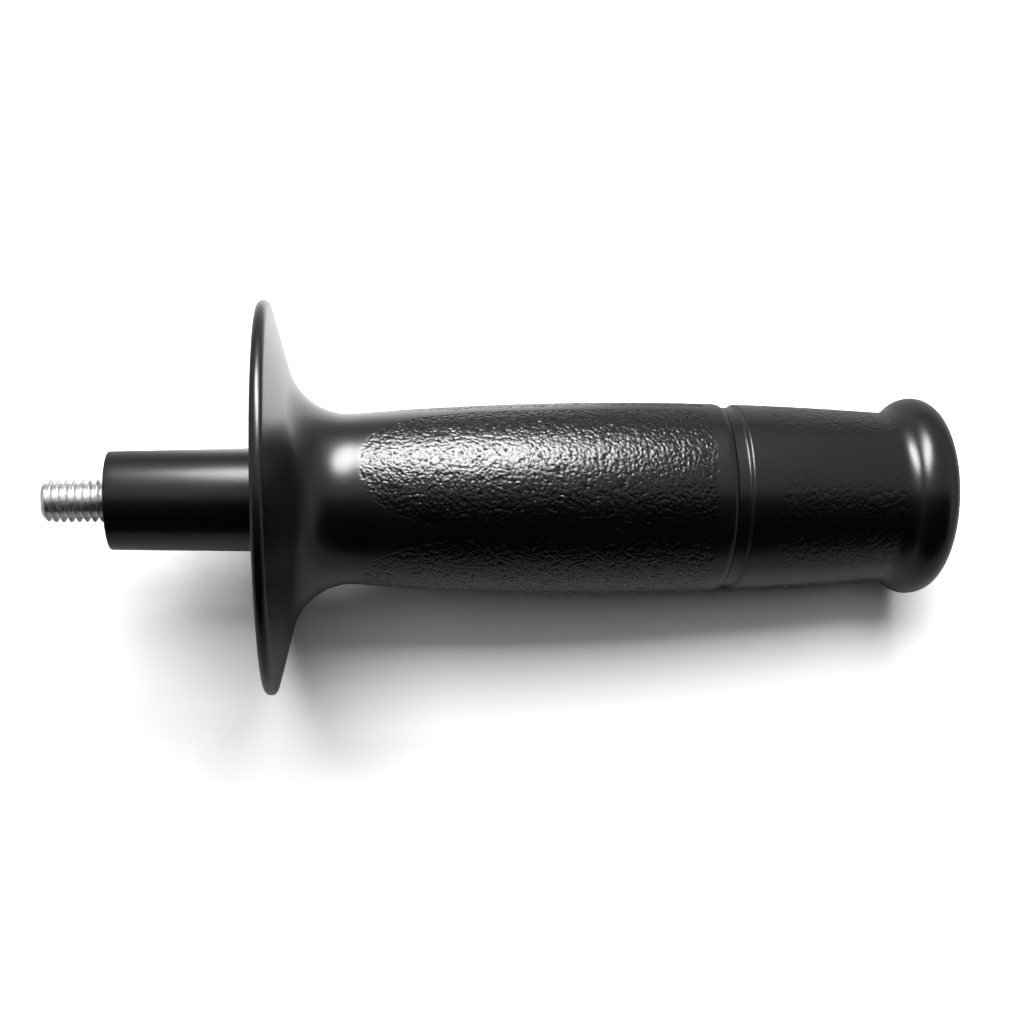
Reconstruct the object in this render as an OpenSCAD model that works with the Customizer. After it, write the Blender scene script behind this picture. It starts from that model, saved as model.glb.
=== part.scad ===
// Side handle for a hand-held angle grinder.
// The axis of the handle lies along X. The threaded stud points to -X, the
// bulb end to +X, and the origin is the centre of the neck's front shoulder,
// the flat face that seats on the machine. All sizes are in millimetres.

/* [Stud bolt] */
// crest diameter of the exposed 5/16 in thread
thread_d = 7.85; // [5.85:0.05:9.85]
// length that stands out of the neck's shoulder
stud_out = 12; // [8:0.1:25]
// chamfer at the stud's tip
tip_chamfer = 1; // [0.4:0.1:1.6]
// diameter of the plain shank inside the handle, the thread's pitch diameter
shank_d = 7.02; // [5:0.02:7.5]
// length under the bolt's head, tip to seat
bolt_length = 50.8; // [40:0.1:70]
// width of the hexagonal head across its flats
head_af = 12.7; // [11:0.1:17]
// height of the hexagonal head
head_h = 5.3; // [3.5:0.1:7]

/* [Neck] */
// diameter at the front shoulder
neck_front_d = 18.3; // [15:0.1:22]
// diameter where the neck passes the guard's front plane
neck_rear_d = 19.4; // [16:0.1:24]
// rounding of the shoulder's edge
shoulder_round = 0.3; // [0.1:0.1:1]

/* [Guard] */
// distance from the shoulder to the guard's front plane
guard_front = 28; // [20:0.5:36]
// outer diameter of the guard
guard_d = 73.6; // [60:0.1:90]
// thickness of the rounded rim
rim_w = 2.4; // [1.6:0.1:4]
// thickness of the guard's wall
guard_wall = 2.4; // [1.6:0.1:3.6]
// radius of the sweep from the guard's back face into the waist
sweep_r = 11.2; // [8:0.1:14]
// distance from the guard's front plane back to the centre of that sweep
sweep_back = 16.3; // [14:0.1:22]
// depth of the dish from the guard's front plane to its floor
dish_depth = 8.3; // [5:0.1:11]
// radius at the bottom of the dish beside the neck
dish_fillet = 1.5; // [0.5:0.1:3]
// number of ribs in the dish
ribs = 8; // [4:1:12]
// thickness of one rib
rib_t = 2; // [1.2:0.1:3.5]
// how far the ribs stay behind the guard's front plane
rib_setback = 1; // [0:0.1:4]

/* [Grip] */
// largest diameter of the grip
crown_d = 36.5; // [32:0.1:44]
// distance from the shoulder to the largest diameter
crown_s = 96; // [80:0.5:108]
// radius of the long arc in front of the largest diameter
belly_r = 600; // [400:10:1200]
// distance from the shoulder to the joint between grip and cap
joint_s = 115.1; // [110:0.1:125]
// height of the rounding at the grip's rear edge, towards the axis
edge_h = 0.7; // [0.2:0.1:1.2]
// length of that rounding along the axis
edge_l = 1.5; // [0.5:0.1:3]

/* [Grip inside] */
// diameter of the hollow behind the bolt's head
core_front_d = 25.2; // [20:0.1:27]
// diameter of the hollow in front of the cap's seat
core_rear_d = 27.6; // [24:0.1:28]
// diameter of the straight seat for the cap's spigot
seat_d = 28.4; // [28.1:0.1:31]
// length of that seat
seat_l = 12.5; // [8:0.5:20]
// wall of solid plastic behind the bolt's head
behind_head = 5.9; // [1:0.1:12]

/* [End cap] */
// depth of the recessed band below the grip's surface
band_depth = 0.7; // [0.3:0.1:1.4]
// width of the recessed band
band_w = 2.15; // [1:0.05:4]
// length of the step from the band to the cap's full size
step_l = 0.95; // [0.4:0.05:2]
// radius of the long arc behind the largest diameter
tail_r = 700; // [400:10:1200]
// radius of the hollow sweep in front of the bulb
flare_r = 4; // [2.5:0.1:7]
// diameter of the bulb
bulb_d = 38.3; // [37.4:0.1:46]
// radius of the bulb's rounded lip
lip_r = 4.6; // [3.8:0.1:7]
// distance from the shoulder to the handle's rear end
rear_s = 158.1; // [150:0.1:175]
// wall of the cap's spigot
spigot_wall = 3; // [1.5:0.1:4]
// length of the cap's spigot
spigot_l = 12; // [6:0.5:19]
// wall at the closed rear end
end_wall = 4; // [2:0.1:8]
// chamfer at the spigot's front edge
spigot_chamfer = 0.6; // [0.2:0.1:1.2]

/* [Fits] */
// space between the thread's crest and the hole that it is passed through, on the diameter
hole_gap = 0.2; // [0.1:0.05:0.5]
// space between the head and its pocket, across the flats
pocket_gap = 0.1; // [0.05:0.05:0.4]
// space between the cap's spigot and its seat, on the diameter
spigot_gap = 0.1; // [0.04:0.02:0.4]

/* [Colours] */
// moulded plastic
plastic_col = [0.09, 0.09, 0.1];
// cap at the rear
cap_col = [0.13, 0.13, 0.14];
// zinc plated steel
steel_col = [0.78, 0.79, 0.8];

/* [Hidden] */
$fn = 96;
over = 1;
head_seat = bolt_length - stud_out;
pocket_end = head_seat + head_h;
core_start = pocket_end + behind_head;
floor_s = guard_front + dish_depth;
waist_s = guard_front + sweep_back;
seat_start = joint_s - seat_l;
spigot_d = seat_d - spigot_gap;
spigot_start = joint_s - spigot_l;
cap_core_d = spigot_d - 2 * spigot_wall;
crown_r = crown_d / 2;
guard_r = guard_d / 2;
neck_r0 = neck_front_d / 2;
neck_r1 = neck_rear_d / 2;
neck_grow = (neck_r1 - neck_r0) / guard_front;
bead_r = rim_w / 2;

// a point on a circle, as radius and distance along the axis, and an arc of n steps
function polar(c, r, a) = [c[0] + r * cos(a), c[1] + r * sin(a)];
function arc(c, r, a0, a1, n) = [for (i = [0 : n]) polar(c, r, a0 + (a1 - a0) * i / n)];

// radius of the neck at a distance s from the shoulder
function neck_at(s) = neck_r0 + neck_grow * s;

// the belly: one long arc on each side of the largest diameter
belly_c = [crown_r - belly_r, crown_s];
tail_c = [crown_r - tail_r, crown_s];
function belly_at(s) = belly_c[0] + sqrt(pow(belly_r, 2) - pow(s - crown_s, 2));
function tail_at(s) = tail_c[0] + sqrt(pow(tail_r, 2) - pow(s - crown_s, 2));
function skin_at(s) = s < crown_s ? belly_at(s) : tail_at(s);

// the sweep behind the guard touches the belly's arc
waist_a = asin((crown_s - waist_s) / (belly_r + sweep_r));
sweep_c = polar(belly_c, belly_r + sweep_r, -waist_a);

// the guard's back face is the straight line that touches the rim's bead and the sweep
bead_c = [guard_r - bead_r, guard_front + bead_r];
bead_way = sweep_c - bead_c;
guard_slope = atan2(bead_way[0], bead_way[1]) + acos((sweep_r + bead_r) / norm(bead_way));
sweep_end = 270 - guard_slope;

// the dish's face lies one wall in front of the back face, up to the rim's flat land
inner_r = sweep_r + guard_wall;
inner_pt = polar(sweep_c, inner_r, sweep_end);
land_r = inner_pt[0] + (inner_pt[1] - guard_front) / tan(guard_slope);

// the dish's inner sweep stops at the floor
floor_a = 180 + asin((sweep_c[1] - floor_s) / inner_r);
dish_r = neck_at(floor_s) + dish_fillet;

// the cap: the hollow sweep touches the tail's arc and the lip of the bulb
lip_c = [bulb_d / 2 - lip_r, rear_s - lip_r];
lip_dist = norm(lip_c - tail_c);
flare_a = acos((pow(tail_r + flare_r, 2) + pow(lip_dist, 2) - pow(lip_r + flare_r, 2))
    / (2 * (tail_r + flare_r) * lip_dist));
lip_dir = atan2(lip_c[1] - tail_c[1], lip_c[0] - tail_c[0]);
flare_dir = lip_dir - flare_a;
flare_c = polar(tail_c, tail_r + flare_r, flare_dir);
lip_start = atan2(flare_c[1] - lip_c[1], flare_c[0] - lip_c[0]);
band_end = joint_s + band_w;
band_r = skin_at(joint_s) - band_depth;
step_end = band_end + step_l;

// a solid of revolution about the handle's axis
module turned() {
    rotate([0, 90, 0]) rotate_extrude() children();
}

// a rod along the handle's axis from s0 to s1
module rod(d, s0, s1, d_end = 0) {
    translate([s0, 0, 0]) rotate([0, 90, 0])
        cylinder(h = s1 - s0, r1 = d / 2, r2 = (d_end > 0 ? d_end : d) / 2);
}

// a hexagonal prism along the handle's axis
module hex_rod(across, s0, s1) {
    translate([s0, 0, 0]) rotate([0, 90, 0])
        cylinder(h = s1 - s0, r = across / 2 / cos(30), $fn = 6);
}

// outline of neck, guard and grip: up the neck, round the dish and back along the skin
module body_profile() {
    polygon(concat(
        [[0, 0]],
        arc([neck_r0 - shoulder_round, shoulder_round], shoulder_round, -90, 0, 6),
        arc([dish_r, floor_s - dish_fillet], dish_fillet, 180, 90, 8),
        arc(sweep_c, inner_r, floor_a, sweep_end, 24),
        [[land_r, guard_front]],
        arc(bead_c, bead_r, -90, 90 - guard_slope, 24),
        arc(sweep_c, sweep_r, sweep_end, 180 - waist_a, 32),
        [for (i = [1 : 40]) let (s = sweep_c[1] + (joint_s - edge_l - sweep_c[1]) * i / 40)
            if (s > polar(belly_c, belly_r, -waist_a)[1]) [skin_at(s), s]],
        [for (a = [15 : 15 : 90])
            [skin_at(joint_s - edge_l) - edge_h * (1 - cos(a)), joint_s - edge_l + edge_l * sin(a)]],
        [[0, joint_s]]));
}

// one rib in the dish, from the neck into the guard's wall
module rib() {
    rotate([90, 0, 0]) linear_extrude(rib_t, center = true)
        polygon(concat(
            [[floor_s + over / 2, neck_r0 - over]],
            [[guard_front + rib_setback, neck_r0 - over]],
            [for (p = arc(sweep_c, inner_r - guard_wall / 2, sweep_end, floor_a, 12)) [p[1], p[0]]]));
}

module handle_body() {
    color(plastic_col) difference() {
        union() {
            turned() body_profile();
            for (i = [0 : ribs - 1]) rotate([360 * (i + 0.5) / ribs, 0, 0]) rib();
        }
        rod(thread_d + hole_gap, -over, head_seat + over);
        hex_rod(head_af + pocket_gap, head_seat, core_start + over);
        rod(core_front_d, core_start, seat_start, core_rear_d);
        rod(seat_d, seat_start, joint_s + over);
    }
}

module stud_bolt() {
    color(steel_col) {
        rod(thread_d - 2 * tip_chamfer, -stud_out, -stud_out + tip_chamfer, thread_d);
        rod(thread_d, -stud_out + tip_chamfer, 0);
        rod(shank_d, 0, head_seat);
        hex_rod(head_af, head_seat, pocket_end);
    }
}

// outline of the cap: the recessed band, the step, the tail, the flare and the bulb
module cap_profile() {
    polygon(concat(
        [[0, spigot_start]],
        [[spigot_d / 2 - spigot_chamfer, spigot_start]],
        [[spigot_d / 2, spigot_start + spigot_chamfer]],
        [[spigot_d / 2, joint_s]],
        [[band_r, joint_s]],
        [for (i = [0 : 10]) let (t = i / 10)
            [band_r + (skin_at(step_end) - band_r) * (1 - cos(180 * t)) / 2, band_end + step_l * t]],
        [for (i = [1 : 23]) let (s = step_end + (flare_c[1] - step_end) * i / 24) [skin_at(s), s]],
        arc(flare_c, flare_r, flare_dir + 180, lip_start + 180, 16),
        arc(lip_c, lip_r, lip_start, 90, 24),
        [[0, rear_s]]));
}

module end_cap() {
    color(cap_col) difference() {
        turned() cap_profile();
        rod(cap_core_d, spigot_start - over, rear_s - end_wall);
    }
}

handle_body();
stud_bolt();
end_cap();
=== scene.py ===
import math
import bmesh
import bpy
import numpy as np
from mathutils import Matrix, Vector


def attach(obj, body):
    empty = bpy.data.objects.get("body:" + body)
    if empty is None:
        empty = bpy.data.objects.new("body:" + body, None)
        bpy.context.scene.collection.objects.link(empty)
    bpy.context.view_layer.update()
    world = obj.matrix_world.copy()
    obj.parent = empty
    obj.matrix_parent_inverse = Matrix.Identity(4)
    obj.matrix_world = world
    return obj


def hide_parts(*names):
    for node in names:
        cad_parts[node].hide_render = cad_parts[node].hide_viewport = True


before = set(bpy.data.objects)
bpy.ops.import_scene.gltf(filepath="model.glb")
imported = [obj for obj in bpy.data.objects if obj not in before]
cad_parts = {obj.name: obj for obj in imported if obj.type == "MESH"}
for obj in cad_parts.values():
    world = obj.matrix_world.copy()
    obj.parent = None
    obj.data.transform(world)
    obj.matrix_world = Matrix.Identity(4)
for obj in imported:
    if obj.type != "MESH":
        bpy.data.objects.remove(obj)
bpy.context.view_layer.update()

MM = 0.001

# Sizes in millimetres, the same as in the CAD model. X runs along the handle from the neck's shoulder.
THREAD_R = 3.925
STUD_OUT = 12.0
TIP = 1.0
PITCH = 25.4 / 18
SHANK_R = 3.51
HEAD_SEAT = 38.8
HEAD_H = 5.3
HEAD_AF = 12.7
HOLE_R = 4.025
NECK_R0, NECK_R1 = 9.15, 9.7
SHOULDER_ROUND = 0.3
GUARD_FRONT = 28.0
GUARD_R = 36.8
BEAD_R = 1.2
WALL = 2.4
SWEEP_R = 11.2
WAIST = 44.3
FLOOR_S = 36.3
DISH_FILLET = 1.5
CROWN_R, CROWN_S = 18.25, 96.0
BELLY_R, TAIL_R = 600.0, 700.0
JOINT = 115.1
EDGE_H, EDGE_L = 0.7, 1.5
CORE_START, SEAT_START = 50.0, 102.6
CORE_R0, CORE_R1, SEAT_R = 12.6, 13.8, 14.2
BAND_DEPTH, BAND_W, STEP_L = 0.7, 2.15, 0.95
FLARE_R, LIP_R, BULB_R, REAR = 4.0, 4.6, 19.15, 158.1
SPIGOT_R, SPIGOT_S, SPIGOT_CORE, SPIGOT_BEVEL = 14.15, 103.1, 11.15, 0.6
END_WALL = 4.0
POCKET_AF = 12.8
RIB_COUNT, RIB_W, RIB_TOP = 8, 2.0, 1.0

# Sizes of what only the visual model has, in millimetres too.
SEAM_W, SEAM_D, SEAM_ROUND = 0.16, 0.45, 0.6
SLEEVE_START, SLEEVE_END, SLEEVE_T = 45.8, 111.9, 0.9
SLEEVE_MID = (SLEEVE_START + SLEEVE_END) / 2
SLEEVE_LEAD, SLEEVE_LAP = 0.3, 0.05
LAND_CORNER = ((-0.25, 0.073), (0, 0.015), (0.2, 0))
POLE_R = 1.2
THREAD_DEEP, THREAD_INSET = 0.56 * PITCH, 0.01
CREST_END, ROOT_START, FLANK_POWER = 0.14, 0.80, 0.94
TIP_INSET, TIP_SLOPE = 0.001, 0.9
RUN_OUT_START, RUN_OUT_END = -0.25, 0.35
HEAD_INSET, HEAD_BEVEL, HEAD_STEP, HEAD_END_R = 0.012, 0.6, 0.02, HEAD_AF / 2 - 0.1
RIB_ROUND, RIB_SINK, RIB_FOOT_R = 0.35, 0.5, NECK_R0 - 1

# Distance from ring to ring of the meshes, in millimetres.
WALL_STEP, BACK_STEP = 1.6, 1.0
REAR_STEP, BAND_STEP, CAP_STEP = 1.5, 0.7, 0.26
SLEEVE_STEP, THREAD_STEP = 0.2, 0.045


# The profile of the moulding, in the half plane of (radius, axial).
def polar(c, r, a):
    """A point (radius, axial) on a circle in the handle's half plane."""
    return (c[0] + r * math.cos(a), c[1] + r * math.sin(a))


def arc(c, r, a0, a1, n):
    return [polar(c, r, a0 + (a1 - a0) * i / n) for i in range(n + 1)]


def neck_at(s):
    return NECK_R0 + (NECK_R1 - NECK_R0) * s / GUARD_FRONT


def skin_at(s):
    """Radius of the belly: one long arc on each side of the largest diameter."""
    big = np.where(s < CROWN_S, BELLY_R, TAIL_R)
    return CROWN_R - big + np.sqrt(big * big - (s - CROWN_S) ** 2)


BELLY_C = (CROWN_R - BELLY_R, CROWN_S)
TAIL_C = (CROWN_R - TAIL_R, CROWN_S)
WAIST_A = math.asin((CROWN_S - WAIST) / (BELLY_R + SWEEP_R))
SWEEP_C = polar(BELLY_C, BELLY_R + SWEEP_R, -WAIST_A)
BEAD_C = (GUARD_R - BEAD_R, GUARD_FRONT + BEAD_R)
BEAD_WAY = (SWEEP_C[0] - BEAD_C[0], SWEEP_C[1] - BEAD_C[1])
SLOPE = math.atan2(*BEAD_WAY) + math.acos((SWEEP_R + BEAD_R) / math.hypot(*BEAD_WAY))
SWEEP_END = math.radians(270) - SLOPE
LIP_C = (BULB_R - LIP_R, REAR - LIP_R)


def flare_geometry():
    """Centre of the hollow sweep that touches the tail's arc and the bulb's lip, and where it touches them."""
    dx, dy = LIP_C[0] - TAIL_C[0], LIP_C[1] - TAIL_C[1]
    dist = math.hypot(dx, dy)
    a, b = TAIL_R + FLARE_R, LIP_R + FLARE_R
    turn = math.acos((a * a + dist * dist - b * b) / (2 * a * dist))
    lie = math.atan2(dy, dx) - turn
    c = polar(TAIL_C, a, lie)
    return c, lie, math.atan2(c[1] - LIP_C[1], c[0] - LIP_C[0])


FLARE_C, FLARE_DIR, LIP_START = flare_geometry()


def dish_floor_angle(r):
    """Angle about the sweep's centre at which an arc of this radius meets the dish's floor."""
    return math.pi + math.asin((SWEEP_C[1] - FLOOR_S) / r)


def spread(points, step):
    """Points along a polyline, near enough together that no gap is over the step."""
    out = [points[0]]
    for p, q in zip(points, points[1:]):
        n = max(1, math.ceil(math.hypot(q[0] - p[0], q[1] - p[1]) / step))
        out += [(p[0] + (q[0] - p[0]) * i / n, p[1] + (q[1] - p[1]) * i / n) for i in range(1, n + 1)]
    return out


def body_profile():
    """Closed loop: shoulder, neck, dish, rim, guard, grip, rear face, seat, hollow, pocket and hole."""
    inner = SWEEP_R + WALL
    dish_s = FLOOR_S - DISH_FILLET
    pts = arc((NECK_R0 - SHOULDER_ROUND, SHOULDER_ROUND), SHOULDER_ROUND, math.radians(-90), 0, 6)
    pts += spread([pts[-1], (neck_at(dish_s), dish_s)], WALL_STEP)[1:]
    pts += arc((neck_at(FLOOR_S) + DISH_FILLET, dish_s), DISH_FILLET, math.pi, math.pi / 2, 6)[1:]
    pts += arc(SWEEP_C, inner, dish_floor_angle(inner), SWEEP_END, 14)
    land = pts[-1][0] + (pts[-1][1] - GUARD_FRONT) / math.tan(SLOPE)
    corner = [(land + dr, GUARD_FRONT + ds) for dr, ds in LAND_CORNER]
    pts += spread([pts[-1], corner[0]], WALL_STEP)[1:] + corner[1:]
    pts += arc(BEAD_C, BEAD_R, -math.pi / 2, math.pi / 2 - SLOPE, 30)
    pts += spread([pts[-1], polar(SWEEP_C, SWEEP_R, SWEEP_END)], BACK_STEP)[1:]
    pts += arc(SWEEP_C, SWEEP_R, SWEEP_END, math.pi - WAIST_A, 48)[1:]
    pts += [(skin_at(s), s) for s in (SLEEVE_START - SLEEVE_LEAD, SLEEVE_START)]
    pts += [(skin_at(s) - SLEEVE_T, s) for s in np.linspace(SLEEVE_START, SLEEVE_END, 40)]
    s1 = JOINT - EDGE_L
    pts += [(skin_at(s), s) for s in np.linspace(SLEEVE_END, s1, 6)]
    pts += [(skin_at(s1) - EDGE_H * (1 - math.cos(a)), s1 + EDGE_L * math.sin(a))
            for a in np.radians(range(10, 90, 10))]
    edge = skin_at(s1) - EDGE_H
    pts += [(edge, JOINT - SEAM_W), (edge - SEAM_D, JOINT - SEAM_W * SEAM_ROUND), (edge - SEAM_D, JOINT)]
    pts += [(SEAT_R, JOINT), (SEAT_R, SEAT_START), (CORE_R1, SEAT_START), (CORE_R0, CORE_START),
            (POCKET_AF / 2, CORE_START), (POCKET_AF / 2, HEAD_SEAT), (HOLE_R, HEAD_SEAT), (HOLE_R, 0.0)]
    return pts


def cap_profile():
    """From the pole of the rear face, over the bulb to the spigot, and back up the hollow."""
    pts = [(0, REAR)] + spread([(POLE_R, REAR), (LIP_C[0], REAR)], REAR_STEP)
    pts += arc(LIP_C, LIP_R, math.pi / 2, LIP_START, 44)[1:]
    pts += arc(FLARE_C, FLARE_R, LIP_START + math.pi, FLARE_DIR + math.pi, 30)[1:]
    step_end = JOINT + BAND_W + STEP_L
    s0 = pts[-1][1]
    n = int(round((s0 - step_end) / CAP_STEP))
    places = [s0 + (step_end - s0) * i / n for i in range(1, n + 1)]
    pts += [(skin_at(s), s) for s in places]
    band_r, top = skin_at(JOINT) - BAND_DEPTH, skin_at(step_end)
    pts += [(band_r + (top - band_r) * (1 + math.cos(math.pi * t)) / 2, step_end - STEP_L * t)
            for t in np.linspace(0, 1, 13)[1:]]
    pts += spread([pts[-1], (band_r, JOINT + SEAM_W)], BAND_STEP)[1:]
    pts += [(band_r - SEAM_D, JOINT + SEAM_W * SEAM_ROUND), (band_r - SEAM_D, JOINT)]
    pts += [(SPIGOT_R, JOINT), (SPIGOT_R, SPIGOT_S + SPIGOT_BEVEL), (SPIGOT_R - SPIGOT_BEVEL, SPIGOT_S),
            (SPIGOT_CORE, SPIGOT_S), (SPIGOT_CORE, REAR - END_WALL), (0, REAR - END_WALL)]
    return pts


def sleeve_profile(s0, s1):
    """Closed loop of one length of the grip's grained skin."""
    n = int(round((s1 - s0) / SLEEVE_STEP))
    outer = [(skin_at(s), s) for s in np.linspace(s0, s1, n + 1)]
    return outer + [(skin_at(s) - SLEEVE_T + SLEEVE_LAP, s) for s in np.linspace(s1, s0, 12)]


# The moulded grain. Lengths on the skin are u round the handle and v along it, both in millimetres.
# Plates and the net of creases between them wander: how far, and over what length.
WANDER = ((0.26, 2.4), (0.13, 0.9))
PLATE, PLATE_EDGE, PLATE_DOME, PLATE_SHARE = 1.25, 0.24, 0.25, 0.64
CREASE, CREASE_EDGE, CREASE_SHARE, CREASE_CHANGE = 0.72, 0.30, 0.42, 2.0
GRIP_GRAIN, CAP_GRAIN = 0.15, 0.12

# The four panels of the grip, each an arch at its front, and those of the cap between them.
FIRST_PANEL = math.pi / 2 - math.radians(18)
GRIP_R, CAP_R = 17.8, 17.2
PANEL_R, PANEL_HALF = 16.6, 12.3
ARCH_TIP, ARCH_L, ARCH_POWER, PANEL_END = 46.0, 27.0, 2.5, 111.4
CAP_PANEL_TURN, CAP_PANEL_HALF = math.radians(40), math.radians(33.5)
CAP_PANEL_FRONT, CAP_PANEL_REAR = (122.4, 2.4), (149.2, -2.0)
GRIP_FADE, GRIP_END_FADE, CAP_FADE = 0.35, 0.4, 1.2
SKIN_SLACK, SKIN_MIN_R = 0.01, 15.9


def cells(u, v, around, size, seed):
    """Distance to the nearest and the next of scattered seeds, on a sheet that closes after `around`."""
    rng = np.random.default_rng(seed)
    nu = max(3, int(round(around / size)))
    cu = around / nu
    v0 = v.min() - 3 * size
    nv = int(math.ceil((v.max() + 3 * size - v0) / size)) + 1
    ju, jv = rng.random((nu, nv)) * 0.9 + 0.05, rng.random((nu, nv)) * 0.9 + 0.05
    iu = np.floor(u / cu).astype(int)
    iv = np.floor((v - v0) / size).astype(int)
    f1 = np.full(u.shape, 1e9)
    f2 = np.full(u.shape, 1e9)
    for du in (-2, -1, 0, 1, 2):
        for dv in (-2, -1, 0, 1, 2):
            a = iu + du
            b = np.clip(iv + dv, 0, nv - 1)
            pu = (a + ju[a % nu, b]) * cu
            pv = v0 + (b + jv[a % nu, b]) * size
            d = np.hypot(u - pu, v - pv) / size
            nearer = d < f1
            f2 = np.where(nearer, f1, np.minimum(f2, d))
            f1 = np.where(nearer, d, f1)
    return f1, f2


def waves(u, v, around, seed, scale, count=14):
    """Smooth wandering field of about unit size, closed round the handle."""
    rng = np.random.default_rng(seed)
    total = np.zeros_like(u)
    for _ in range(count):
        k = rng.integers(0, max(2, int(around / scale)) + 1) * rng.choice([-1, 1])
        w = rng.normal() / scale * 2 * math.pi * 0.6
        total += np.sin(2 * math.pi * k * u / around + w * v + rng.random() * 2 * math.pi)
    return total / math.sqrt(count / 2)


def smooth(x):
    x = np.clip(x, 0, 1)
    return x * x * (3 - 2 * x)


def leather(u, v, around, seed):
    """Height from 0 to 1 of a leather-like grain: low plates parted by thin wandering wrinkles."""
    wu, wv = u, v
    for i, (reach, scale) in enumerate(WANDER):
        wu = wu + reach * waves(u, v, around, seed + 1 + i, scale)
        wv = wv + reach * waves(u, v, around, seed + 3 + i, scale)
    wu = np.mod(wu, around)
    f1, f2 = cells(wu, wv, around, PLATE, seed)
    plates = smooth((f2 - f1) / PLATE_EDGE) - PLATE_DOME * f1 * f1
    g1, g2 = cells(wu, wv, around, CREASE, seed + 9)
    strength = 0.5 + 0.5 * smooth(0.5 + 0.5 * waves(u, v, around, seed + 5, CREASE_CHANGE))
    creases = 1 - strength * (1 - smooth((g2 - g1) / CREASE_EDGE))
    return np.clip(PLATE_SHARE * plates + CREASE_SHARE * creases, 0, 1)


def off_centre(a, first):
    """Angle from the middle of the nearest of four panels."""
    quarter = math.pi / 2
    return np.abs(np.mod(a - first + quarter / 2, quarter) - quarter / 2)


def grip_panels(a, s):
    """1 inside the four grained panels of the grip, whose front ends are arches, and 0 outside."""
    across = off_centre(a, FIRST_PANEL) * PANEL_R / PANEL_HALF
    front = ARCH_TIP + ARCH_L * (1 - (1 - np.minimum(across, 1) ** ARCH_POWER) ** (1 / ARCH_POWER))
    side = (1 - across) * PANEL_HALF
    return smooth((s - front) / GRIP_FADE) * smooth(side / GRIP_FADE) * smooth((PANEL_END - s) / GRIP_END_FADE)


def cap_panels(a, s):
    """The same for the cap, whose four panels have bowed ends."""
    across = off_centre(a, FIRST_PANEL + CAP_PANEL_TURN) / CAP_PANEL_HALF
    front, rear = (place + bow * across ** 2 for place, bow in (CAP_PANEL_FRONT, CAP_PANEL_REAR))
    return smooth((s - front) / CAP_FADE) * smooth((rear - s) / CAP_FADE) * smooth((1 - across) * 10 / CAP_FADE)


def relief_of(panels, radius, depth, seed, painted_shade=1.0):
    """Function of angle, place and radius: how deep the grain is, where it is, and how much painted shade its
    creases get.
    """
    around = 2 * math.pi * radius

    def relief(a, s, r):
        mask = panels(a, s) * (r > np.maximum(skin_at(s) - SKIN_SLACK, SKIN_MIN_R))
        low = mask * (1 - leather(a / (2 * math.pi) * around, s, around, seed))
        # The third value is painted shade: the creases' depth, which the material turns into a lower specular
        # level.
        return depth * low, mask, painted_shade * low
    return relief


# Meshes, built from rings of points about X.
def ring_faces(n, around, closed):
    """Quads between n rings. Rings that don't close on themselves get fans to two poles, the next two points."""
    i, j = np.meshgrid(np.arange(n if closed else n - 1), np.arange(around), indexing="ij")
    here, after, k = i * around, ((i + 1) % n) * around, (j + 1) % around
    faces = np.stack([here + j, after + j, after + k, here + k], -1).reshape(-1, 4).tolist()
    if not closed:
        pole, end = n * around, (n - 1) * around
        for j in range(around):
            k = (j + 1) % around
            faces += [(pole, j, k), (pole + 1, end + k, end + j)]
    return faces


def solid(name, verts, faces, sharp=40):
    """Object from points in metres, its faces turned outwards, smooth but for edges over the angle."""
    mesh = bpy.data.meshes.new(name)
    mesh.from_pydata(verts, [], faces)
    obj = bpy.data.objects.new(name, mesh)
    bpy.context.scene.collection.objects.link(obj)
    bm = bmesh.new()
    bm.from_mesh(mesh)
    bmesh.ops.recalc_face_normals(bm, faces=bm.faces)
    for e in bm.edges:
        e.smooth = e.calc_face_angle(0.0) < math.radians(sharp)
    bm.to_mesh(mesh)
    bm.free()
    mesh.polygons.foreach_set("use_smooth", [True] * len(mesh.polygons))
    mesh.update()
    return obj


def revolve(name, profile, around, closed, relief=None):
    """Solid of revolution about X through points (radius, axial); a radius of 0 makes a pole."""
    r = np.array([p[0] for p in profile])
    s = np.array([p[1] for p in profile])
    ang = np.arange(around) * 2 * math.pi / around
    rings = np.where(r > 1e-6)[0]
    R = np.repeat(r[rings][:, None], around, 1)
    S = np.repeat(s[rings][:, None], around, 1)
    A = np.repeat(ang[None], len(rings), 0)
    layers = {}
    if relief is not None:
        # The crease layer carries the painted shade of the creases to the material.
        depth, layers["grain"], layers["crease"] = relief(A, S, R)
        R = R - depth
    verts = (np.stack([S, R * np.cos(A), R * np.sin(A)], -1).reshape(-1, 3) * MM).tolist()
    layers = {key: value.reshape(-1).tolist() for key, value in layers.items()}
    if not closed:
        verts += [(s[0] * MM, 0, 0), (s[-1] * MM, 0, 0)]
        layers = {key: value + [0.0, 0.0] for key, value in layers.items()}
    obj = solid(name, verts, ring_faces(len(rings), around, closed))
    for key, value in layers.items():
        obj.data.attributes.new(key, "FLOAT", "POINT").data.foreach_set("value", value)
    return obj


def rib_section():
    """Across a rib: offset from its middle and depth below its top, where None is the foot in the wall."""
    quarter = np.linspace(0, math.pi / 2, 5)
    half = RIB_W / 2
    left = [(-half + RIB_ROUND - RIB_ROUND * math.cos(a), RIB_ROUND - RIB_ROUND * math.sin(a)) for a in quarter]
    right = [(half - RIB_ROUND + RIB_ROUND * math.sin(a), RIB_ROUND - RIB_ROUND * math.cos(a)) for a in quarter]
    return [(-half, None)] + left + right + [(half, None)]


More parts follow.
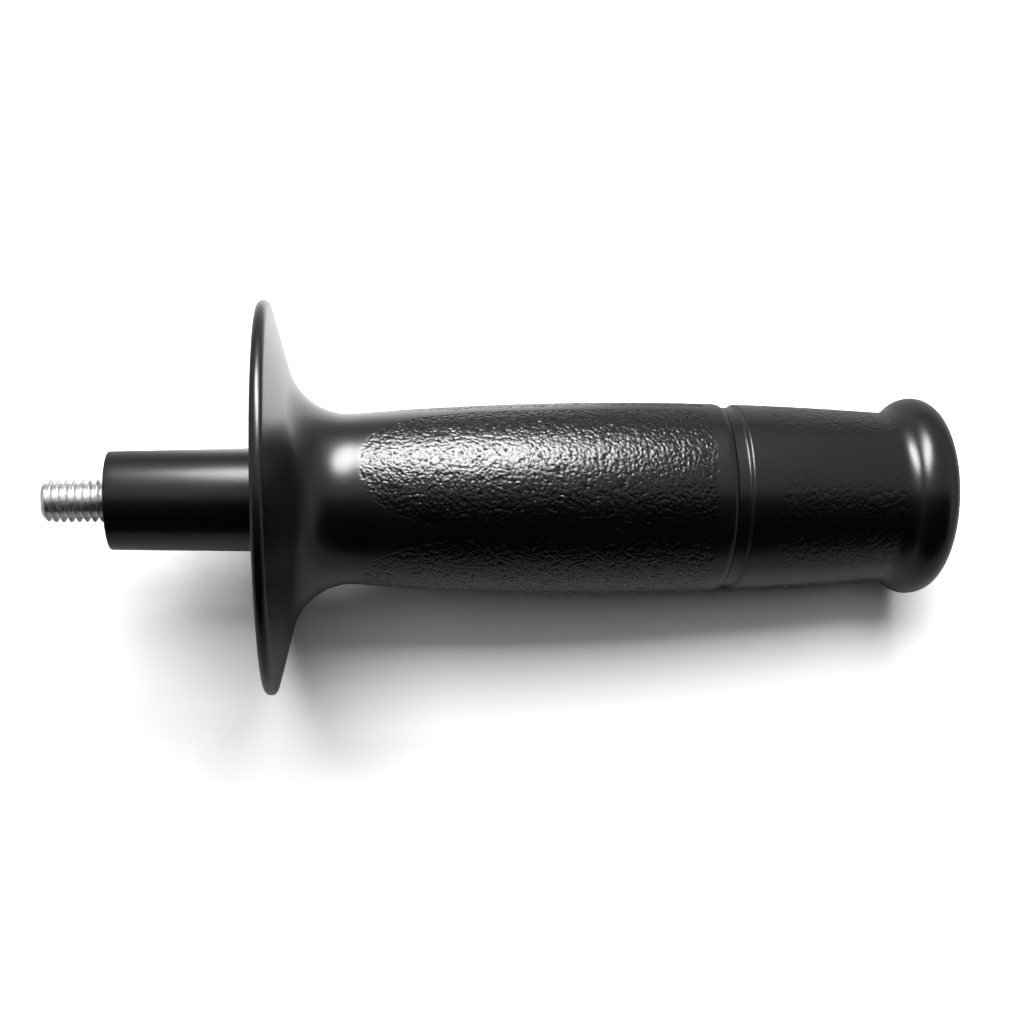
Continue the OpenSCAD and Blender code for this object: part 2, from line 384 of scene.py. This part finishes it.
def rib_mesh(name, stations=24):
    """Radial ribs with rounded top edges, which slope from the neck into the guard's wall."""
    middle = SWEEP_R + WALL / 2
    wall = arc(SWEEP_C, middle, SWEEP_END, dish_floor_angle(middle), 10)
    last_r, last_s = wall[0]
    radii = np.linspace(RIB_FOOT_R, last_r, stations)
    line = np.array([(RIB_FOOT_R, FLOOR_S + RIB_SINK)] + wall[::-1])
    low = np.interp(radii, line[:, 0], line[:, 1])
    high = np.interp(radii, [RIB_FOOT_R, last_r], [GUARD_FRONT + RIB_TOP, last_s])
    across = rib_section()
    m = len(across)
    verts, faces = [], []
    for k in range(RIB_COUNT):
        turn = 2 * math.pi * (k + 0.5) / RIB_COUNT
        base = len(verts)
        for r, s_low, s_high in zip(radii, low, high):
            for w, d in across:
                s = s_low if d is None else min(s_low, s_high + d)
                y, z = r * math.cos(turn) - w * math.sin(turn), r * math.sin(turn) + w * math.cos(turn)
                verts.append((s * MM, y * MM, z * MM))
        for i in range(base, base + (stations - 1) * m, m):
            faces += [(i + j, i + (j + 1) % m, i + m + (j + 1) % m, i + m + j) for j in range(m)]
        faces.append(tuple(base + j for j in range(m)))
        faces.append(tuple(base + (stations - 1) * m + j for j in reversed(range(m))))
    return solid(name, verts, faces, 50)


def thread_depth(phase):
    """Depth below the crest by place in the pitch, 0 to 1: flat crest, nearly straight flanks, flat root."""
    x = np.abs(np.mod(phase, 1) - 0.5) * 2
    return THREAD_DEEP * np.clip((x - CREST_END) / (ROOT_START - CREST_END), 0, 1) ** FLANK_POWER


def thread_ring(s, ang):
    """Radii of one ring of the thread, with its chamfered tip and its run-out into the shank."""
    r = THREAD_R - THREAD_INSET - thread_depth(s / PITCH - ang / (2 * math.pi))
    r = np.minimum(r, THREAD_R - max(0.0, (-STUD_OUT + TIP) - s) * TIP_SLOPE)
    fade = smooth((s - RUN_OUT_START) / (RUN_OUT_END - RUN_OUT_START))
    return r * (1 - fade) + SHANK_R * fade


def bolt_mesh(name, around=96):
    """Thread, plain shank and hexagonal head in one skin."""
    ang = np.arange(around) * 2 * math.pi / around
    six = np.mod(ang + math.pi / 6, math.pi / 3) - math.pi / 6
    shank = np.full(around, SHANK_R)
    head = HEAD_AF / 2 / np.cos(six) - HEAD_INSET
    rows = [(s, thread_ring(s, ang)) for s in np.arange(-STUD_OUT + TIP_INSET, RUN_OUT_END, THREAD_STEP)]
    rows += [(RUN_OUT_END + 0.1, shank), (HEAD_SEAT - HEAD_STEP, shank), (HEAD_SEAT, head),
             (HEAD_SEAT + HEAD_H - HEAD_BEVEL, head), (HEAD_SEAT + HEAD_H, np.minimum(head, HEAD_END_R))]
    verts = [(s * MM, rr * math.cos(a) * MM, rr * math.sin(a) * MM) for s, r in rows for rr, a in zip(r, ang)]
    verts += [(-STUD_OUT * MM, 0, 0), ((HEAD_SEAT + HEAD_H) * MM, 0, 0)]
    return solid(name, verts, ring_faces(len(rows), around, False), 42)


grip_relief = relief_of(grip_panels, GRIP_R, GRIP_GRAIN, 5)
# The last number is how much painted shade the cap's creases get.
cap_relief = relief_of(cap_panels, CAP_R, CAP_GRAIN, 31, 0.3)

body = revolve("handle_skin", body_profile(), 312, True)
grip_front = revolve("grip_skin_front", sleeve_profile(SLEEVE_START, SLEEVE_MID), 560, True, grip_relief)
grip_rear = revolve("grip_skin_rear", sleeve_profile(SLEEVE_MID, SLEEVE_END), 560, True, grip_relief)
cap = revolve("rear_cap", cap_profile(), 400, False, cap_relief)
ribs = rib_mesh("guard_ribs")
bolt = bolt_mesh("threaded_bolt")


# Materials. Each tint and roughness goes from one value to the other with a noise.
NYLON_TINT = ((0.0010, 0.0010, 0.0011, 1), (0.0018, 0.0018, 0.0020, 1))
ZINC_TINT = ((0.62, 0.63, 0.65, 1), (0.82, 0.82, 0.81, 1))
NYLON_ROUGH, ZINC_ROUGH = (0.26, 0.33), (0.25, 0.37)
NYLON_IOR = 1.5

# Each noise has a scale per metre and its detail. Bumps have a strength and a height in metres.
CLOUD_NOISE, MICRO_NOISE, WARP_NOISE, STREAK_NOISE = (90, 5), (2300, 3), (1500, 2), (420, 4)
STREAK_STRETCH = (9.0, 1.0, 1.0)
NET_SCALE, NET_EDGE, NET_WARP = 2100, 0.2, 0.0006
MICRO_BUMP, STREAK_BUMP, NET_HEIGHT = (0.3, 0.00004), (0.06, 0.00003), 0.00004

# Painted shade: the specular level falls with the depth of a crease, where little light gets in.
CREASE_SHADE = {"low": 0.35, "high": 0.95, "at_low": 0.5, "at_high": 0.12}


def node(tree, kind, inputs=None, **settings):
    """New shader node with its settings, and the values of its inputs by name or number."""
    n = tree.nodes.new(kind)
    for key, value in settings.items():
        setattr(n, key, value)
    for key, value in (inputs or {}).items():
        n.inputs[key].default_value = value
    return n


def material(name):
    mat = bpy.data.materials.new(name)
    mat.use_nodes = True
    return mat, mat.node_tree, mat.node_tree.nodes["Principled BSDF"]


def coordinates(tree):
    return node(tree, "ShaderNodeTexCoord").outputs["Object"]


def noise(tree, place, scale, detail):
    n = node(tree, "ShaderNodeTexNoise", {"Scale": scale, "Detail": detail})
    tree.links.new(place, n.inputs["Vector"])
    return n


def map_range(tree, source, **limits):
    """Value mapped between limits; those that aren't given are 0 to 1."""
    names = {"low": "From Min", "high": "From Max", "at_low": "To Min", "at_high": "To Max"}
    n = node(tree, "ShaderNodeMapRange", {names[key]: value for key, value in limits.items()})
    tree.links.new(source, n.inputs["Value"])
    return n


def soft_range(tree, source, **limits):
    """The same with soft ends."""
    n = map_range(tree, source, **limits)
    n.interpolation_type = "SMOOTHSTEP"
    return n


def tinted(tree, source, shader, tints, rough):
    """Base colour and roughness that vary together with a noise; gives the roughness."""
    ramp = node(tree, "ShaderNodeValToRGB")
    for element, tint in zip(ramp.color_ramp.elements, tints):
        element.color = tint
    tree.links.new(source, ramp.inputs[0])
    tree.links.new(ramp.outputs[0], shader.inputs["Base Color"])
    level = map_range(tree, source, at_low=rough[0], at_high=rough[1]).outputs[0]
    tree.links.new(level, shader.inputs["Roughness"])
    return level


def bumped(tree, height, strength, distance, below=None):
    bump = node(tree, "ShaderNodeBump", {"Strength": strength, "Distance": distance})
    tree.links.new(height, bump.inputs["Height"])
    if below is not None:
        tree.links.new(below, bump.inputs["Normal"])
    return bump.outputs[0]


def fine_net(tree, place):
    """Height of a fine net of creases, whose cells are about half a millimetre wide."""
    warp = noise(tree, place, *WARP_NOISE)
    shifted = node(tree, "ShaderNodeMixRGB", {0: NET_WARP}, blend_type="ADD")
    tree.links.new(place, shifted.inputs[1])
    tree.links.new(warp.outputs["Color"], shifted.inputs[2])
    net = node(tree, "ShaderNodeTexVoronoi", {"Scale": NET_SCALE}, feature="DISTANCE_TO_EDGE")
    tree.links.new(shifted.outputs[0], net.inputs["Vector"])
    return soft_range(tree, net.outputs["Distance"], high=NET_EDGE).outputs[0]


def plastic(name, net_strength=0.0, sheen=0.0):
    """Black satin nylon. Where the mesh says grain, it is smoother by the sheen and has the fine net as a bump, and
    its creases get painted shade from a lower specular level.
    """
    mat, tree, shader = material(name)
    place = coordinates(tree)
    cloud = noise(tree, place, *CLOUD_NOISE).outputs["Fac"]
    rough = tinted(tree, cloud, shader, NYLON_TINT, NYLON_ROUGH)
    shader.inputs["IOR"].default_value = NYLON_IOR
    normal = bumped(tree, noise(tree, place, *MICRO_NOISE).outputs["Fac"], *MICRO_BUMP)
    if net_strength:
        where, deep = (node(tree, "ShaderNodeAttribute", attribute_name=key).outputs["Fac"]
                       for key in ("grain", "crease"))
        satin = node(tree, "ShaderNodeMath", operation="MULTIPLY_ADD")
        satin.inputs[1].default_value = -sheen
        tree.links.new(where, satin.inputs[0])
        tree.links.new(rough, satin.inputs[2])
        tree.links.new(satin.outputs[0], shader.inputs["Roughness"])
        # Painted shade in the creases: the specular level falls with the crease layer.
        gloss = soft_range(tree, deep, **CREASE_SHADE)
        tree.links.new(gloss.outputs[0], shader.inputs["Specular IOR Level"])
        height = node(tree, "ShaderNodeMath", operation="MULTIPLY")
        tree.links.new(fine_net(tree, place), height.inputs[0])
        tree.links.new(where, height.inputs[1])
        normal = bumped(tree, height.outputs[0], net_strength, NET_HEIGHT, normal)
    tree.links.new(normal, shader.inputs["Normal"])
    return mat


def zinc(name):
    """Bright zinc plating on rolled steel, with faint lines round the thread."""
    mat, tree, shader = material(name)
    stretch = node(tree, "ShaderNodeMapping", {"Scale": STREAK_STRETCH})
    tree.links.new(coordinates(tree), stretch.inputs[0])
    streak = noise(tree, stretch.outputs[0], *STREAK_NOISE).outputs["Fac"]
    tinted(tree, streak, shader, ZINC_TINT, ZINC_ROUGH)
    shader.inputs["Metallic"].default_value = 1.0
    tree.links.new(bumped(tree, streak, *STREAK_BUMP), shader.inputs["Normal"])
    return mat


smooth_mat = plastic("black_nylon_smooth")
grip_mat = plastic("black_nylon_grained", 0.28, 0.06)
cap_mat = plastic("black_nylon_fine_grained", 0.3, 0.03)
zinc_mat = zinc("bright_zinc")

for obj, mat, node_name, slot_name in ((body, smooth_mat, "handle_body", "black_nylon"),
                                       (grip_front, grip_mat, "handle_body", "black_nylon"),
                                       (grip_rear, grip_mat, "handle_body", "black_nylon"),
                                       (ribs, smooth_mat, "handle_body", "black_nylon"),
                                       (cap, cap_mat, "end_cap", "black_nylon"),
                                       (bolt, zinc_mat, "stud_bolt", "zinc_steel")):
    obj.data.materials.append(mat)
    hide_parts(node_name)
    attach(obj, "root")


# The stage. The handle lies on its guard's rim and its bulb, so the floor touches both.
DROP, RUN = BEAD_C[0] - LIP_C[0], LIP_C[1] - BEAD_C[1]
TILT = math.atan2(DROP, RUN) - math.asin((LIP_R - BEAD_R) / math.hypot(DROP, RUN))
UP = Vector((-math.sin(TILT), 0, math.cos(TILT)))
ALONG = Vector((math.cos(TILT), 0, math.sin(TILT)))
ACROSS = Vector((0, 1, 0))
REST = Vector((GUARD_FRONT + BEAD_R, 0, -(GUARD_R - BEAD_R))) * MM - UP * (BEAD_R * MM)
CENTRE = Vector((72 * MM, 0, 0))

# Levels for what the camera sees, for what gloss and glass mirror, and for the light that is thrown back.
FLOOR_SHOWN, FLOOR_LIT = 1.95, 0.97
SWEEP_LEVELS = (1.0, 0.3, 0.05)
WORLD_LEVELS = (1.0, 0.65, 0.05)

# Soft-edged circles on the floor, in metres: centre, inner and outer radius, and the levels inside and outside.
# The pool is a painted pool of light that only gloss sees: the floor mirrors brighter there. Beyond the painted
# part the floor is the plain white sweep.
MIRRORED_LIGHT_POOL = ((0.022, 0.035, 0.0), 0.030, 0.062, 2.2, 0.65)
PAINTED = ((0.045, 0.0, 0.0), 0.125, 0.20, 0.0, 1.0)
FLOOR_HALF, FLOOR_GAP = 3.0, 0.02 * MM


def by_ray(tree, shown, mirrored, lit):
    """Level by kind of ray. The mirrored level is a number or another node's output."""
    path = node(tree, "ShaderNodeLightPath")
    either = node(tree, "ShaderNodeMath", operation="MAXIMUM")
    tree.links.new(path.outputs["Is Glossy Ray"], either.inputs[0])
    tree.links.new(path.outputs["Is Transmission Ray"], either.inputs[1])
    mirror = map_range(tree, either.outputs[0], at_low=lit)
    if isinstance(mirrored, bpy.types.NodeSocket):
        tree.links.new(mirrored, mirror.inputs["To Max"])
    else:
        mirror.inputs["To Max"].default_value = mirrored
    level = map_range(tree, path.outputs["Is Camera Ray"], at_high=shown)
    tree.links.new(mirror.outputs[0], level.inputs["To Min"])
    return level.outputs[0]


def by_distance(tree, place, centre, near, far, inside, outside):
    """Level that goes from inside to outside between two distances from a centre."""
    away = node(tree, "ShaderNodeVectorMath", {1: centre}, operation="DISTANCE")
    tree.links.new(place, away.inputs[0])
    return soft_range(tree, away.outputs["Value"], low=near, high=far, at_low=inside, at_high=outside).outputs[0]


def staged(name, half_x, half_y, mat):
    """Rectangle in its own XY plane that belongs to the stage."""
    mesh = bpy.data.meshes.new(name)
    mesh.from_pydata([(-half_x, -half_y, 0), (half_x, -half_y, 0), (half_x, half_y, 0), (-half_x, half_y, 0)],
                     [], [(0, 1, 2, 3)])
    mesh.materials.append(mat)
    obj = bpy.data.objects.new(name, mesh)
    bpy.context.scene.collection.objects.link(obj)
    return obj


def studio_floor():
    """White paint that takes the shadow, with a painted pool of light near the guard that only gloss sees, fading
    into a plain white sweep away from the handle.
    """
    mat, tree, shader = material("white_floor")
    tree.nodes.remove(shader)
    place = coordinates(tree)
    paint = node(tree, "ShaderNodeBsdfDiffuse")
    # Gloss sees a painted pool of light on the floor near the guard.
    level = by_ray(tree, FLOOR_SHOWN, by_distance(tree, place, *MIRRORED_LIGHT_POOL), FLOOR_LIT)
    tree.links.new(level, paint.inputs["Color"])
    sweep = node(tree, "ShaderNodeEmission")
    tree.links.new(by_ray(tree, *SWEEP_LEVELS), sweep.inputs["Strength"])
    both = node(tree, "ShaderNodeMixShader")
    tree.links.new(by_distance(tree, place, *PAINTED), both.inputs[0])
    tree.links.new(paint.outputs[0], both.inputs[1])
    tree.links.new(sweep.outputs[0], both.inputs[2])
    tree.links.new(both.outputs[0], tree.nodes["Material Output"].inputs["Surface"])
    floor = staged("studio_floor", FLOOR_HALF, FLOOR_HALF, mat)
    axes = Matrix((ALONG, ACROSS, UP)).transposed()
    floor.matrix_world = Matrix.Translation(REST - UP * FLOOR_GAP) @ axes.to_4x4()


def toward(along_deg, across_deg):
    """Direction over the floor, by its lean along the handle and its lean towards +Y, in degrees."""
    lean = ALONG * math.tan(math.radians(along_deg)) + ACROSS * math.tan(math.radians(across_deg))
    return (lean + UP).normalized()


def facing(direction, turn=0):
    """Rotation whose Z looks along the direction and whose X lies along the handle, then a turn in degrees."""
    x = (ALONG - direction * ALONG.dot(direction)).normalized()
    lie = Matrix((x, direction.cross(x), direction)).transposed()
    return (lie @ Matrix.Rotation(math.radians(turn), 3, "Z")).to_euler()


# The dark studio over the near side, which the gloss of the handle shows: lean in degrees, metres away, half size.
CARD_LEAN, CARD_AWAY, CARD_HALF = -44.0, 1.0, (2.2, 0.93)


def dark_card():
    """Black card that only gloss shows, and that throws no shadow."""
    mat, _, shader = material("black_card")
    shader.inputs["Base Color"].default_value = (0.0, 0.0, 0.0, 1)
    shader.inputs["Specular IOR Level"].default_value = 0.0
    direction = toward(0, CARD_LEAN)
    card = staged("dark_card", *CARD_HALF, mat)
    card.location = CENTRE + direction * CARD_AWAY
    card.rotation_euler = facing(direction)
    card.visible_camera = False
    card.visible_shadow = False


# Lamps that light the floor and throw the shadows, unseen in gloss: the direction's lean along the handle and
# towards +Y, half the width and half the height as seen from the handle, all in degrees, and the radiance.
SHADOW_LAMPS = (("overhead", 2, 7, 22, 11.5, 1.1),
                ("rear_overhead", 2, 25.5, 22, 10, 7.2),
                ("key", 12, 47, 10, 8.5, 12.4))
LAMP_AWAY = 0.5

# The lamp that gloss shows: its place over the floor in millimetres, its size in metres, radiance and turn.
SOFTBOX_PLACE, SOFTBOX_SIZE, SOFTBOX_RADIANCE, SOFTBOX_TURN = (66, 144, 130), (0.118, 0.176), 22.5, 10


def lamp(name, place, direction, size, radiance, turn=0):
    """Rectangular lamp that shines against the direction, its width along the handle."""
    data = bpy.data.lights.new(name, "AREA")
    data.shape = "RECTANGLE"
    data.size, data.size_y = size
    data.energy = radiance * math.pi * size[0] * size[1]
    obj = bpy.data.objects.new(name, data)
    bpy.context.scene.collection.objects.link(obj)
    obj.location = place
    obj.rotation_euler = facing(direction, turn)
    obj.visible_camera = False
    return obj


def floor_place(along, across, height):
    """A point over the floor, in millimetres: along the handle from its shoulder, across it, and up."""
    return (ALONG * along + ACROSS * across + UP * (height + UP.dot(REST) / MM)) * MM


studio_floor()

for name, along_deg, across_deg, *halves, radiance in SHADOW_LAMPS:
    direction = toward(along_deg, across_deg)
    size = [2 * LAMP_AWAY * math.tan(math.radians(half)) for half in halves]
    lamp(name, CENTRE + direction * LAMP_AWAY, direction, size, radiance).visible_glossy = False

softbox = lamp("near_softbox", floor_place(*SOFTBOX_PLACE), UP, SOFTBOX_SIZE, SOFTBOX_RADIANCE, SOFTBOX_TURN)
softbox.data.shape = "ELLIPSE"
softbox.visible_diffuse = False

dark_card()

world = bpy.data.worlds.new("studio")
bpy.context.scene.world = world
world.use_nodes = True
back = world.node_tree.nodes["Background"]
back.inputs["Color"].default_value = (1, 1, 1, 1)
world.node_tree.links.new(by_ray(world.node_tree, *WORLD_LEVELS), back.inputs["Strength"])

# The camera, fitted to the outlines of the photograph: sizes in pixels of its square frame, the eye in millimetres.
FRAME_PX, FOCAL_PX, HORIZON_PX = 1024, 1415.96, 622.67
SENSOR = 36.0
EYE = Vector((44.851, -23.370, 270.122)) * MM
VIEW_RIGHT = Vector((0.99376714, -0.01523323, 0.11043013))
VIEW_UP = Vector((0.01532697, 0.99988254, 0.0))

cam_data = bpy.data.cameras.new("photo_view")
cam = bpy.data.objects.new("photo_view", cam_data)
bpy.context.scene.collection.objects.link(cam)
cam_data.sensor_width = SENSOR
cam_data.lens = FOCAL_PX / FRAME_PX * SENSOR
cam_data.shift_y = (HORIZON_PX - FRAME_PX / 2) / FRAME_PX
cam_data.clip_start = 0.01
axes = Matrix((VIEW_RIGHT, VIEW_UP, VIEW_RIGHT.cross(VIEW_UP))).transposed()
cam.matrix_world = Matrix.Translation(EYE) @ axes.to_4x4()
bpy.context.scene.camera = cam

bpy.context.scene.view_settings.view_transform = "Standard"
